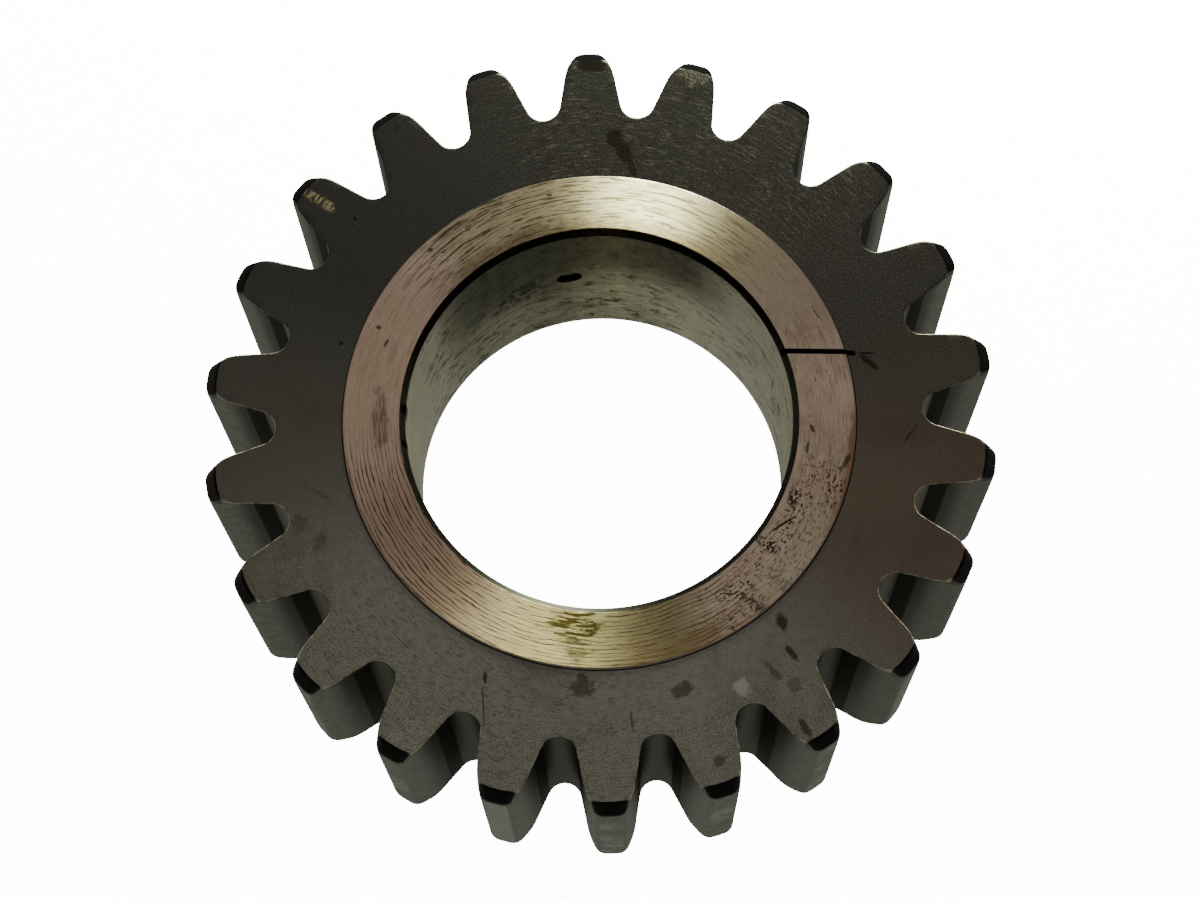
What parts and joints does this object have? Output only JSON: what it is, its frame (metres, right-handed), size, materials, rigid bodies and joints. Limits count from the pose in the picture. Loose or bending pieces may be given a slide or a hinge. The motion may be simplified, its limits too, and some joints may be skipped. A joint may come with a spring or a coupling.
{
  "type": "spur gear",
  "caption": "Straight-cut steel spur gear with chamfered tooth tips, a pressed-in hub bush with proud ground thrust faces, a plain bore, an oil hole and an oil groove.",
  "frame": {"origin": "on the gear's axis, at the middle of the bore and of the face width", "axes": "+Z along the axis, out of the thrust face that has the oil groove; +Y through the middle of one tooth"},
  "size_m": [0.1432, 0.144, 0.0516],
  "materials": {
    "rim_steel": "dark heat-treated steel, machined and oiled",
    "bush_steel": "bright turned and ground steel, worn"
  },
  "bodies": {
    "root": {"toothed_rim": "rim_steel", "hub_bush": "bush_steel"}
  },
  "joints": []
}
